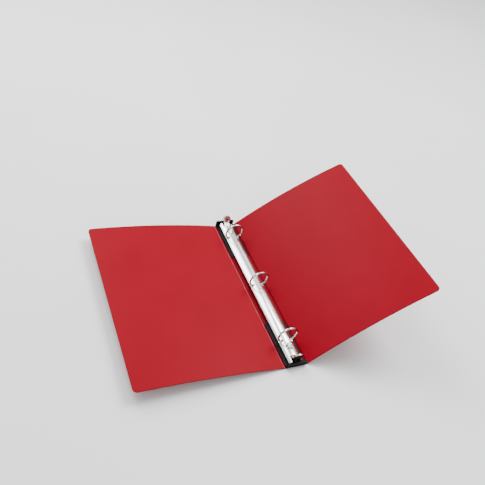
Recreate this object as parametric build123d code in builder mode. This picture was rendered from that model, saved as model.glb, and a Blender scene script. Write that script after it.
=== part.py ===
from build123d import *
from math import atan2, cos, radians, sin, sqrt
import os

# A hanging ring binder, lying open on its spine.
# Frame: the origin is the middle of the spine's under face, +X runs out to the back cover,
# +Y runs along the spine to the far end and +Z is up. All lengths are millimetres.
# side is -1 for the front cover's side and +1 for the back cover's side.
# end is -1 for the near end of the spine and +1 for the far end.

FRONT, BACK = -1, 1
NEAR, FAR = -1, 1
ENDS = {"near": NEAR, "far": FAR}

# Sheet, spine and covers
SHEET = 1.4
SPINE_LENGTH = 295.0
SPINE_HALF_WIDTH = 16.3
EDGE_EASE = 0.3
COVER_WIDTH = 214.0
COVER_CORNER = 6.0
COVER_EDGE = 0.35

# Living hinges: a thin web about each hinge axis
HINGE_X = 17.6
HINGE_Z = 0.6
WEB_HALF = 1.3
WEB_THICKNESS = 0.5
WEB_GAP = 0.02
FRONT_RISE = (9.7, -0.2)
BACK_RISE = (41.4, 28.1)

# Title label, let into the under face of the spine
LABEL_LENGTH = 94.0
LABEL_WIDTH = 22.0
LABEL_Y = -58.0
LABEL_RECESS = 0.2
LABEL_THICKNESS = 0.15
LABEL_CORNER = 1.0
LABEL_GAP = 0.2

# Ring housing: one arched pressing
HOUSING_LENGTH = 289.0
HOUSING_HALF_WIDTH = 10.7
HOUSING_SHEET = 0.8
RIM_Z = 4.0
SHOULDER_Z = 6.6
CROWN_Z = 10.8
HEM_WIDTH = 0.9
HEM_HEIGHT = 1.3
RIDGE_X = (3.1, 5.6)
RIDGE_WIDTH = 0.9
RIDGE_HEIGHT = 0.35
RIDGE_END_GAP = 13.0
BAY_START = 134.6
BAY_HALF_WIDTH = 6.8

# Rivets that fix the housing to the spine
RIVET_Y = 120.0
RIVET_RADIUS = 2.0
RIVET_BORE = 1.2
RIVET_HEAD = 4.0
RIVET_HEAD_THICKNESS = 0.5
RIVET_ROLL = 3.0
RIVET_ROLL_HEIGHT = 0.9
RIVET_SINK = 0.1
HOLE_EASE = 0.05
SPACER_RADIUS = 3.2
WELL_FOOT = 4.0
WELL_MOUTH = 6.2

# Rails: two long blades that turn in the housing's hems
PIVOT_X = 9.15
PIVOT_Z = 6.0
BLADE_THICKNESS = 1.2
BLADE_INNER_X = 0.4
BLADE_HALF_LENGTH = 129.5
CLOSED_TILT = 8.0
WELL_CLEARANCE = 5.6

# Rings: three pairs of round-wire half rings
RING_PITCH = 108.0
RING_STATIONS = {"near": -RING_PITCH, "middle": 0.0, "far": RING_PITCH}
WIRE = 1.5
RING_RADIUS = 14.3
RING_Z = 20.8
FOOT_BEND = 2.2
FOOT_RISE = 0.3
TENON = 1.0
TENON_EASE = 0.02
TENON_HEAD = 1.4
TENON_HEAD_THICKNESS = 0.4
TIP_GAP = 0.05
NOSE_RADIUS = 0.9
NOSE_LENGTH = 0.8
NOTCH_WIDTH = 3.8
NOTCH_INNER_X = 4.7

# Levers at the two ends of the housing
PIN_Y = 132.8
PIN_Z = 5.8
PIN_RADIUS = 1.0
PIN_HALF_LENGTH = 11.1
PIN_EASE = 0.02
LEVER_BORE_EASE = 0.05
LEVER_SHEET = 1.2
KNUCKLE = 1.85
LEVER_HALF_WIDTH = 4.5
TONGUE_HALF_WIDTH = 3.0
TONGUE_REACH = 7.5
TONGUE_TOP_Z = 4.0
TONGUE_SHEET = 0.7
TAB_Y = 143.6
TAB_Z = 18.2
TAB_LEAN = 15.0
TAB_RADIUS = 6.9
TAB_RIM_WIDTH = 1.1
TAB_RIM_HEIGHT = 0.5
PAD_RADIUS = 6.6
PAD_THICKNESS = 1.0
PAD_PEG = 0.95
PAD_HOLE = 1.0
PAD_PEG_HEAD = 1.6
PAD_PEG_HEAD_THICKNESS = 0.4

# Hanging hooks that slide out from under the housing
HOOK_BOTTOM_Z = 1.5
HOOK_THICKNESS = 1.5
HOOK_HALF_WIDTH = 15.7
HOOK_LENGTH = 80.0
HOOK_END_Y = 148.6
LIP_THICKNESS = 2.0
LIP_TOP_Z = 11.2
HOOK_TRAVEL = 14.0
SLOT_HALF_WIDTH = 3.6
GRIP_PITCH = 1.8
GRIP_WIDTH = 0.8
GRIP_DEPTH = 0.4
GRIP_COUNT = 15
HOOK_CORNER = 2.0


def save(piece, name):
    """Labels a finished piece and writes it."""
    piece.label = name
    export_step(piece, f"parts/{name}.step")


def ring_y(station):
    """Place of a ring along the spine."""
    return RING_STATIONS[station]


# ---------------------------------------------------------------- covers and spine


def cover_point(side, rise, along, height):
    """Point of a cover's section, given its distance from the hinge axis and its height
    over the middle line. The section bends evenly from rise[0] to rise[1] degrees."""
    start, stop = radians(rise[0]), radians(rise[1])
    bend_radius = COVER_WIDTH / (start - stop)
    slope = start - along / bend_radius
    centre_x = bend_radius * sin(start)
    centre_z = HINGE_Z - bend_radius * cos(start)
    out = centre_x - (bend_radius + height) * sin(slope)
    up = centre_z + (bend_radius + height) * cos(slope)
    return (side * (HINGE_X + out), up)


def make_cover(side, rise):
    """Cover sheet, slightly sprung into an even curve, with rounded free corners."""
    under, over = -HINGE_Z, SHEET - HINGE_Z
    middle = (WEB_HALF + COVER_WIDTH) / 2
    with BuildPart() as cover:
        with BuildSketch(Plane.XZ):
            with BuildLine():
                ThreePointArc(*(cover_point(side, rise, s, under)
                                for s in (WEB_HALF, middle, COVER_WIDTH)))
                Line(cover_point(side, rise, COVER_WIDTH, under),
                     cover_point(side, rise, COVER_WIDTH, over))
                ThreePointArc(*(cover_point(side, rise, s, over)
                                for s in (COVER_WIDTH, middle, WEB_HALF)))
                Line(cover_point(side, rise, WEB_HALF, over),
                     cover_point(side, rise, WEB_HALF, under))
            make_face()
        extrude(amount=SPINE_LENGTH / 2, both=True)
        corners = cover.edges().filter_by(lambda e: abs(e.length - SHEET) < 0.01)
        fillet(corners.group_by(Axis.X)[-1 if side == BACK else 0], radius=COVER_CORNER)
        faces = cover.faces().sort_by(SortBy.AREA)[-2:]
        fillet(faces.edges(), radius=COVER_EDGE)
    return cover.part


def make_hinge_web(side, rise):
    """Thin web of a living hinge, from the spine to the foot of its cover."""
    lean = side * rise / 2
    with BuildPart() as web:
        with BuildSketch(Plane.XZ):
            with Locations((side * (HINGE_X - WEB_HALF / 2), HINGE_Z)):
                Rectangle(WEB_HALF, WEB_THICKNESS)
            with Locations(Location((side * HINGE_X, HINGE_Z, 0), (0, 0, 2 * lean))):
                with Locations((side * (WEB_HALF - WEB_GAP) / 2, 0)):
                    Rectangle(WEB_HALF - WEB_GAP, WEB_THICKNESS)
            with Locations((side * HINGE_X, HINGE_Z)):
                Circle(WEB_THICKNESS / 2)
        extrude(amount=SPINE_LENGTH / 2, both=True)
    return web.part


with BuildPart() as spine_panel:
    with BuildSketch(Plane.XY):
        Rectangle(2 * SPINE_HALF_WIDTH, SPINE_LENGTH)
    extrude(amount=SHEET)
    chamfer(spine_panel.edges().filter_by(Axis.Y), length=EDGE_EASE)
    with BuildSketch(Plane.XY):
        with Locations((0, NEAR * RIVET_Y), (0, FAR * RIVET_Y)):
            Circle(RIVET_RADIUS + HOLE_EASE)
    extrude(amount=SHEET, mode=Mode.SUBTRACT)
    with BuildSketch(Plane.XY):
        with Locations((0, NEAR * RIVET_Y), (0, FAR * RIVET_Y)):
            Circle(RIVET_HEAD + HOLE_EASE)
    extrude(amount=RIVET_SINK + RIVET_HEAD_THICKNESS, mode=Mode.SUBTRACT)
    with BuildSketch(Plane.XY):
        with Locations((0, LABEL_Y)):
            RectangleRounded(LABEL_WIDTH + 2 * LABEL_GAP, LABEL_LENGTH + 2 * LABEL_GAP,
                             LABEL_CORNER)
    extrude(amount=LABEL_RECESS, mode=Mode.SUBTRACT)

with BuildPart() as spine_label:
    with BuildSketch(Plane.XY.offset(LABEL_RECESS)):
        with Locations((0, LABEL_Y)):
            RectangleRounded(LABEL_WIDTH, LABEL_LENGTH, LABEL_CORNER)
    extrude(amount=-LABEL_THICKNESS)


# ---------------------------------------------------------------- ring housing

ARCH_RISE = CROWN_Z - SHOULDER_Z
ARCH_RADIUS = (HOUSING_HALF_WIDTH ** 2 + ARCH_RISE ** 2) / (2 * ARCH_RISE)
ARCH_Z = CROWN_Z - ARCH_RADIUS


def arch_face(inset, crown=0.0):
    """Filled section of the housing, moved in from the outer face by inset, or with its
    arch alone raised by crown."""
    half = HOUSING_HALF_WIDTH - inset
    radius = ARCH_RADIUS - inset + crown
    shoulder = ARCH_Z + sqrt(radius ** 2 - half ** 2)
    with BuildSketch(Plane.XZ) as section:
        with BuildLine():
            Line((-half, RIM_Z), (-half, shoulder))
            ThreePointArc((-half, shoulder), (0, ARCH_Z + radius), (half, shoulder))
            Polyline((half, shoulder), (half, RIM_Z), (-half, RIM_Z))
        make_face()
    return section.sketch


def make_ridges():
    """Low lengthwise ridges pressed in the crown, one run between each two rings."""
    run = RING_PITCH - 2 * RIDGE_END_GAP
    with BuildPart() as ridges:
        with BuildSketch(Plane.XY.offset(RIM_Z)):
            for x in RIDGE_X:
                with Locations((-x, -RING_PITCH / 2), (x, -RING_PITCH / 2),
                               (-x, RING_PITCH / 2), (x, RING_PITCH / 2)):
                    SlotOverall(run, RIDGE_WIDTH, rotation=90)
        extrude(amount=CROWN_Z - RIM_Z + RIDGE_HEIGHT)
        extrude(arch_face(0, RIDGE_HEIGHT), amount=HOUSING_LENGTH / 2, both=True,
                mode=Mode.INTERSECT)
        extrude(arch_face(HOUSING_SHEET / 2), amount=HOUSING_LENGTH / 2, both=True,
                mode=Mode.SUBTRACT)
    return ridges.part


def make_well(end):
    """Solid blank of a rivet well, as high as the housing's outer face."""
    height = CROWN_Z - RIM_Z + 1
    with BuildPart() as well:
        with Locations((0, end * RIVET_Y, RIM_Z)):
            Cone(WELL_FOOT, WELL_MOUTH, height, align=(Align.CENTER, Align.CENTER, Align.MIN))
        extrude(arch_face(0), amount=HOUSING_LENGTH / 2, both=True, mode=Mode.INTERSECT)
    return well.part


with BuildPart() as ring_housing:
    extrude(arch_face(0), amount=HOUSING_LENGTH / 2, both=True)
    extrude(arch_face(HOUSING_SHEET), amount=HOUSING_LENGTH / 2, both=True, mode=Mode.SUBTRACT)
    # hems that carry the outer edges of the blades
    with BuildSketch(Plane.XZ):
        hem_x = HOUSING_HALF_WIDTH - HOUSING_SHEET - HEM_WIDTH / 2
        with Locations((-hem_x, RIM_Z + HEM_HEIGHT / 2), (hem_x, RIM_Z + HEM_HEIGHT / 2)):
            Rectangle(HEM_WIDTH, HEM_HEIGHT)
    extrude(amount=HOUSING_LENGTH / 2, both=True)
    add(make_ridges())
    # wells drawn down to the rivets
    for end in (NEAR, FAR):
        add(make_well(end))
    well_floor = RIM_Z + HOUSING_SHEET
    with Locations((0, NEAR * RIVET_Y, well_floor), (0, FAR * RIVET_Y, well_floor)):
        Cone(WELL_FOOT - HOUSING_SHEET, WELL_MOUTH - HOUSING_SHEET / 2, CROWN_Z - RIM_Z,
             align=(Align.CENTER, Align.CENTER, Align.MIN), mode=Mode.SUBTRACT)
    with BuildSketch(Plane.XY.offset(RIM_Z)):
        with Locations((0, NEAR * RIVET_Y), (0, FAR * RIVET_Y)):
            Circle(RIVET_RADIUS + HOLE_EASE)
    extrude(amount=HOUSING_SHEET, mode=Mode.SUBTRACT)
    # notches that the rings rise through
    with BuildSketch(Plane.XY.offset(SHOULDER_Z)):
        reach = 2 * (HOUSING_HALF_WIDTH - NOTCH_INNER_X)
        for y in RING_STATIONS.values():
            with Locations((-NOTCH_INNER_X - reach / 2, y), (NOTCH_INNER_X + reach / 2, y)):
                SlotOverall(reach, NOTCH_WIDTH)
    extrude(amount=CROWN_Z, mode=Mode.SUBTRACT)
    # open bays for the levers, with an ear left on each side for the pin
    with BuildSketch(Plane.XY):
        bay = HOUSING_LENGTH / 2 - BAY_START
        with Locations((0, NEAR * (BAY_START + bay)), (0, FAR * (BAY_START + bay))):
            RectangleRounded(2 * BAY_HALF_WIDTH, 2 * bay, 1.5)
    extrude(amount=2 * CROWN_Z, mode=Mode.SUBTRACT)
    with BuildSketch(Plane.YZ):
        with Locations((NEAR * PIN_Y, PIN_Z), (FAR * PIN_Y, PIN_Z)):
            Circle(PIN_RADIUS + PIN_EASE)
    extrude(amount=2 * HOUSING_HALF_WIDTH, both=True, mode=Mode.SUBTRACT)


def make_rivet(end):
    """Tubular rivet: a flat head under the spine and a rolled end in the well."""
    seat = RIVET_SINK + RIVET_HEAD_THICKNESS
    roll = RIM_Z + HOUSING_SHEET
    top = roll + RIVET_ROLL_HEIGHT
    with BuildPart() as rivet:
        with BuildSketch(Plane.XZ):
            with BuildLine():
                Polyline((0, RIVET_SINK), (RIVET_HEAD, RIVET_SINK), (RIVET_HEAD, seat),
                         (RIVET_RADIUS, seat), (RIVET_RADIUS, roll), (RIVET_ROLL, roll))
                ThreePointArc((RIVET_ROLL, roll),
                              ((RIVET_ROLL + RIVET_BORE) / 2, top),
                              (RIVET_BORE, roll))
                Polyline((RIVET_BORE, roll), (RIVET_BORE, SHEET), (0, SHEET), (0, RIVET_SINK))
            make_face()
        revolve(axis=Axis.Z)
    return rivet.part.moved(Location((0, end * RIVET_Y, 0)))


def make_spacer(end):
    """Spacer tube that holds the housing up off the sliding hook."""
    with BuildPart() as spacer:
        with BuildSketch(Plane.XY.offset(SHEET)):
            with Locations((0, end * RIVET_Y)):
                Circle(SPACER_RADIUS)
                Circle(RIVET_RADIUS + HOLE_EASE, mode=Mode.SUBTRACT)
        extrude(amount=RIM_Z - SHEET)
    return spacer.part


# ---------------------------------------------------------------- rails and rings

TILT = radians(CLOSED_TILT)


def blade_point(side, inward, up):
    """Point of a closed blade's section: inward from its pivot along the blade and up
    from its middle line."""
    x = -PIVOT_X + inward * cos(TILT) + up * sin(TILT)
    z = PIVOT_Z - inward * sin(TILT) + up * cos(TILT)
    return (-side * x, z)


# The foot bend touches the ring's circle from outside and ends square to the blade, so its
# centre lies on a circle of RING_RADIUS + FOOT_BEND about the ring's centre.
RISE = BLADE_THICKNESS / 2 + FOOT_RISE
BASE_X = -PIVOT_X + RISE * sin(TILT)
BASE_Z = PIVOT_Z + RISE * cos(TILT) - RING_Z
HALF_B = BASE_X * cos(TILT) - BASE_Z * sin(TILT)
BEND_REACH = RING_RADIUS + FOOT_BEND
SHIFT = -HALF_B - sqrt(HALF_B ** 2 - BASE_X ** 2 - BASE_Z ** 2 + BEND_REACH ** 2)
FOOT_INWARD = SHIFT + FOOT_BEND


def make_blade(side):
    """Long blade, rounded where it turns in the hem and cut out round the rivet wells."""
    half = BLADE_THICKNESS / 2
    width = (PIVOT_X - BLADE_INNER_X) / cos(TILT)
    with BuildPart() as blade:
        with BuildSketch(Plane.XZ):
            with BuildLine():
                Line(blade_point(side, 0, half), blade_point(side, width, half))
                Line(blade_point(side, width, half), blade_point(side, width, -half))
                Line(blade_point(side, width, -half), blade_point(side, 0, -half))
                ThreePointArc(blade_point(side, 0, -half), blade_point(side, -half, 0),
                              blade_point(side, 0, half))
            make_face()
        extrude(amount=BLADE_HALF_LENGTH, both=True)
        with BuildSketch(Plane.XY):
            with Locations((0, NEAR * RIVET_Y), (0, FAR * RIVET_Y)):
                Circle(WELL_CLEARANCE)
        extrude(amount=2 * PIVOT_Z, mode=Mode.SUBTRACT)
        for y in RING_STATIONS.values():
            foot_x, foot_z = blade_point(side, FOOT_INWARD, 0)
            with BuildSketch(Plane(origin=(foot_x, y, foot_z),
                                   z_dir=(-side * sin(TILT), 0, cos(TILT)))):
                Circle(TENON + TENON_EASE)
            extrude(amount=BLADE_THICKNESS, both=True, mode=Mode.SUBTRACT)
    return blade.part


def make_half_ring(side, station):
    """Half ring of round wire, with a shouldered tenon headed over under its blade."""
    y = ring_y(station)
    half = BLADE_THICKNESS / 2
    shoulder = blade_point(side, FOOT_INWARD, half)
    foot_top = blade_point(side, FOOT_INWARD, RISE)
    bend_x, bend_z = blade_point(side, SHIFT, RISE)
    to_ring = atan2(RING_Z - bend_z, side * bend_x)
    to_foot = atan2(foot_top[1] - bend_z, side * (bend_x - foot_top[0]))
    turn = (to_ring + to_foot) / 2

    def on_bend(angle):
        return (bend_x - side * FOOT_BEND * cos(angle), bend_z + FOOT_BEND * sin(angle))

    def on_ring(angle):
        return (side * RING_RADIUS * cos(angle), RING_Z + RING_RADIUS * sin(angle))

    start = -to_ring
    tip = radians(90) - TIP_GAP / RING_RADIUS
    with BuildPart() as ring:
        with BuildLine(Plane.XZ.offset(-y)) as wire:
            Line(shoulder, foot_top)
            ThreePointArc(foot_top, on_bend(turn), on_bend(to_ring))
            ThreePointArc(on_bend(to_ring), on_ring((start + tip) / 2), on_ring(tip))
        with BuildSketch(Plane(origin=wire.wires()[0] @ 0, z_dir=wire.wires()[0] % 0)):
            Circle(WIRE)
        sweep()
        down = (side * sin(TILT), 0, -cos(TILT))
        with BuildSketch(Plane(origin=(shoulder[0], y, shoulder[1]), z_dir=down)):
            Circle(TENON)
        extrude(amount=BLADE_THICKNESS)
        head = blade_point(side, FOOT_INWARD, -half)
        with BuildSketch(Plane(origin=(head[0], y, head[1]), z_dir=down)):
            Circle(TENON_HEAD)
        extrude(amount=TENON_HEAD_THICKNESS)
        tip_x, tip_z = on_ring(tip)
        across = Plane(origin=(tip_x, y, tip_z), z_dir=(1, 0, 0))
        if side == FRONT:
            with Locations(across):
                Cone(NOSE_RADIUS, NOSE_RADIUS / 3, NOSE_LENGTH,
                     align=(Align.CENTER, Align.CENTER, Align.MIN))
        else:
            with Locations(across):
                Cone(NOSE_RADIUS + 2 * TIP_GAP, NOSE_RADIUS / 3 + 2 * TIP_GAP, NOSE_LENGTH + TIP_GAP,
                     align=(Align.CENTER, Align.CENTER, Align.MIN), mode=Mode.SUBTRACT)
    return ring.part


# ---------------------------------------------------------------- levers

LEAN = radians(TAB_LEAN)


def tab_plane(end, out):
    """Plane of the thumb tab, out from its middle towards the end of the spine."""
    facing = (0, end * cos(LEAN), -sin(LEAN))
    origin = (0, end * TAB_Y + out * facing[1], TAB_Z + out * facing[2])
    return Plane(origin=origin, x_dir=(1, 0, 0), z_dir=facing)


def tab_point(end, up, out):
    """Point of the lever's middle section, up along the tab and out from its middle line."""
    y = TAB_Y + up * sin(LEAN) + out * cos(LEAN)
    return (end * y, TAB_Z + up * cos(LEAN) - out * sin(LEAN))


def make_lever(end):
    """Pressed lever: a knuckle on the pin, a tongue under the blades and a round tab."""
    half = LEVER_SHEET / 2
    with BuildPart() as lever:
        with BuildSketch(Plane.YZ):
            with Locations((end * PIN_Y, PIN_Z)):
                Circle(KNUCKLE)
            with BuildLine():
                Polyline((end * PIN_Y, PIN_Z + KNUCKLE),
                         tab_point(end, -TAB_RADIUS + half, -half),
                         tab_point(end, -TAB_RADIUS / 2, -half),
                         tab_point(end, -TAB_RADIUS / 2, half),
                         tab_point(end, -TAB_RADIUS, half),
                         (end * (PIN_Y + KNUCKLE), PIN_Z),
                         (end * PIN_Y, PIN_Z), close=True)
            make_face()
        extrude(amount=LEVER_HALF_WIDTH, both=True)
        with BuildSketch(Plane.YZ):
            with BuildLine():
                Polyline((end * PIN_Y, PIN_Z),
                         (end * (PIN_Y - KNUCKLE / 2), TONGUE_TOP_Z),
                         (end * (PIN_Y - TONGUE_REACH), TONGUE_TOP_Z),
                         (end * (PIN_Y - TONGUE_REACH), TONGUE_TOP_Z - TONGUE_SHEET),
                         (end * (PIN_Y - KNUCKLE / 2), TONGUE_TOP_Z - TONGUE_SHEET),
                         (end * (PIN_Y + KNUCKLE / 2), PIN_Z - KNUCKLE), close=True)
            make_face()
        extrude(amount=TONGUE_HALF_WIDTH, both=True)
        with BuildSketch(tab_plane(end, -half)):
            Circle(TAB_RADIUS)
        extrude(amount=LEVER_SHEET)
        with BuildSketch(tab_plane(end, -half)):
            Circle(TAB_RADIUS)
            Circle(TAB_RADIUS - TAB_RIM_WIDTH, mode=Mode.SUBTRACT)
        extrude(amount=-TAB_RIM_HEIGHT)
        with BuildSketch(tab_plane(end, -2 * LEVER_SHEET)):
            Circle(PAD_HOLE)
        extrude(amount=4 * LEVER_SHEET, mode=Mode.SUBTRACT)
        with BuildSketch(Plane.YZ):
            with Locations((end * PIN_Y, PIN_Z)):
                Circle(PIN_RADIUS + LEVER_BORE_EASE)
        extrude(amount=2 * LEVER_HALF_WIDTH, both=True, mode=Mode.SUBTRACT)
    return lever.part


def make_pad(end):
    """Moulded thumb pad, held by a peg headed over on the inner face of the tab."""
    half = LEVER_SHEET / 2
    with BuildPart() as pad:
        with BuildSketch(tab_plane(end, half)):
            Circle(PAD_RADIUS)
        extrude(amount=PAD_THICKNESS)
        with BuildSketch(tab_plane(end, -half)):
            Circle(PAD_PEG)
        extrude(amount=LEVER_SHEET)
        with BuildSketch(tab_plane(end, -half)):
            Circle(PAD_PEG_HEAD)
        extrude(amount=-PAD_PEG_HEAD_THICKNESS)
    return pad.part


def make_pin(end):
    """Lever pin, with its ends headed a little outside the ears."""
    with BuildPart() as pin:
        with BuildSketch(Plane.YZ):
            with Locations((end * PIN_Y, PIN_Z)):
                Circle(PIN_RADIUS)
        extrude(amount=PIN_HALF_LENGTH, both=True)
        fillet(pin.edges().filter_by(GeomType.CIRCLE), radius=PIN_RADIUS / 3)
    return pin.part


# ---------------------------------------------------------------- hanging hooks


def make_hook(end):
    """Flat plate with a slot round the spacer and a ribbed lip across its outer end."""
    inner_end = HOOK_END_Y - HOOK_LENGTH
    lip_y = HOOK_END_Y - LIP_THICKNESS / 2
    with BuildPart() as hook:
        with BuildSketch(Plane.XY.offset(HOOK_BOTTOM_Z)):
            with Locations((0, end * (HOOK_END_Y + inner_end) / 2)):
                Rectangle(2 * HOOK_HALF_WIDTH, HOOK_LENGTH)
        extrude(amount=HOOK_THICKNESS)
        inner_corners = hook.edges().filter_by(Axis.Z).group_by(Axis.Y)[0 if end == FAR else -1]
        fillet(inner_corners, radius=HOOK_CORNER)
        with BuildSketch(Plane.XY.offset(HOOK_BOTTOM_Z)):
            with Locations((0, end * lip_y)):
                Rectangle(2 * HOOK_HALF_WIDTH, LIP_THICKNESS)
        extrude(amount=LIP_TOP_Z - HOOK_BOTTOM_Z)
        lip_corners = hook.edges().filter_by(Axis.Y).group_by(Axis.Z)[-1]
        fillet(lip_corners, radius=HOOK_CORNER)
        with BuildSketch(Plane.XY.offset(HOOK_BOTTOM_Z)):
            with Locations((0, end * (RIVET_Y - HOOK_TRAVEL / 2))):
                SlotOverall(HOOK_TRAVEL + 2 * SLOT_HALF_WIDTH, 2 * SLOT_HALF_WIDTH, rotation=90)
        extrude(amount=HOOK_THICKNESS, mode=Mode.SUBTRACT)
        # upright grip grooves in the outer face of the lip
        first = -GRIP_PITCH * (GRIP_COUNT - 1) / 2
        with BuildSketch(Plane.XY.offset(HOOK_BOTTOM_Z + HOOK_THICKNESS)):
            for i in range(GRIP_COUNT):
                with Locations((first + i * GRIP_PITCH, end * HOOK_END_Y)):
                    Rectangle(GRIP_WIDTH, 2 * GRIP_DEPTH)
        extrude(amount=LIP_TOP_Z - HOOK_BOTTOM_Z - HOOK_THICKNESS - HOOK_CORNER, mode=Mode.SUBTRACT)
    return hook.part


# ---------------------------------------------------------------- writing the pieces

os.makedirs("parts", exist_ok=True)

spine_panel.part.label = "spine_panel"
export_step(spine_panel.part, "parts/spine_panel.step")
spine_label.part.label = "spine_label"
export_step(spine_label.part, "parts/spine_label.step")
ring_housing.part.label = "ring_housing"
export_step(ring_housing.part, "parts/ring_housing.step")

save(make_cover(FRONT, FRONT_RISE), "front_cover")
save(make_cover(BACK, BACK_RISE), "back_cover")
save(make_hinge_web(FRONT, FRONT_RISE[0]), "front_hinge_web")
save(make_hinge_web(BACK, BACK_RISE[0]), "back_hinge_web")

for end_name, end in ENDS.items():
    save(make_hook(end), f"{end_name}_hook")
    save(make_rivet(end), f"{end_name}_rivet")
    save(make_spacer(end), f"{end_name}_rivet_spacer")
    save(make_pin(end), f"{end_name}_lever_pin")
    save(make_lever(end), f"{end_name}_lever")
    save(make_pad(end), f"{end_name}_thumb_pad")

for side_name, side in {"left": FRONT, "right": BACK}.items():
    save(make_blade(side), f"{side_name}_blade")
    for station in RING_STATIONS:
        save(make_half_ring(side, station), f"{station}_{side_name}_half_ring")
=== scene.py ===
"""Looks of a hanging ring binder, built round its packed construction.

Every length is in metres and every piece lies in the construction's own frame: the origin is
the middle of the spine's under face, +X runs to the back cover, +Y to the far end, +Z is up.
"""

import logging
import math
from dataclasses import dataclass
from enum import Enum

import bmesh
import bpy
from bmesh.types import BMEdge, BMesh, BMVert
from bpy.types import Material, NodeSocket, Object
from mathutils import Matrix, Vector, noise


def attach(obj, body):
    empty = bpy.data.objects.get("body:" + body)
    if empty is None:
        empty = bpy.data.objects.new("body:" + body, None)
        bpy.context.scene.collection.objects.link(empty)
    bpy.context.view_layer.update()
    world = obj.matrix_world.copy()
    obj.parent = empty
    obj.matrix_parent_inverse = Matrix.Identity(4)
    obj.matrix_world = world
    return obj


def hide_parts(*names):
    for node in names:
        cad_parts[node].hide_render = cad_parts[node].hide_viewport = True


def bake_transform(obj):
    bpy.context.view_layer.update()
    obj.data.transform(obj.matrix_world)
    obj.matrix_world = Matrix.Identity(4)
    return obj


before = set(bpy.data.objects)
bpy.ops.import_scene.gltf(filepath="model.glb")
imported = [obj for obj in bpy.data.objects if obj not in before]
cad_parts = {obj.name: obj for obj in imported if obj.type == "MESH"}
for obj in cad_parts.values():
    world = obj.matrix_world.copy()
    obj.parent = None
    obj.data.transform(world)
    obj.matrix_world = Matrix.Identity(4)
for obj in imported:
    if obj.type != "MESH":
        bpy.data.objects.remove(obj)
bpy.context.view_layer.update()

MM = 0.001
LOG = logging.getLogger("ring_binder")

Pair = tuple[float, float]
Triple = tuple[float, float, float]
Tones = tuple[Triple, Triple]

MOST_NOISE = (0.3, 0.7)  # the span in which most cloudy noise lies
RANGE_SOCKETS = ("From Min", "From Max", "To Min", "To Max")

SHEET_LENGTH = 295.0 * MM  # covers, hinges and spine alike
HINGE_X = 17.6 * MM  # hinge axes, each side of the spine's middle
HINGE_Z = 0.6 * MM
RING_PITCH = 108.0 * MM


class Side(Enum):
    """The two long sides of the spine, with the sign of X on each."""

    FRONT = -1
    BACK = 1

    @property
    def hand(self) -> str:
        """Left or right, as the construction names the ring parts of this side."""
        return "left" if self is Side.FRONT else "right"


class End(Enum):
    """The two ends of the spine, with the sign of Y on each."""

    NEAR = -1
    FAR = 1


class Face(Enum):
    """The faces of a sheet, with the material slot that each one takes."""

    INSIDE = 0
    RIM = 1
    OUTSIDE = 2


# ------------------------------------------------------------------ finishes


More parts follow.
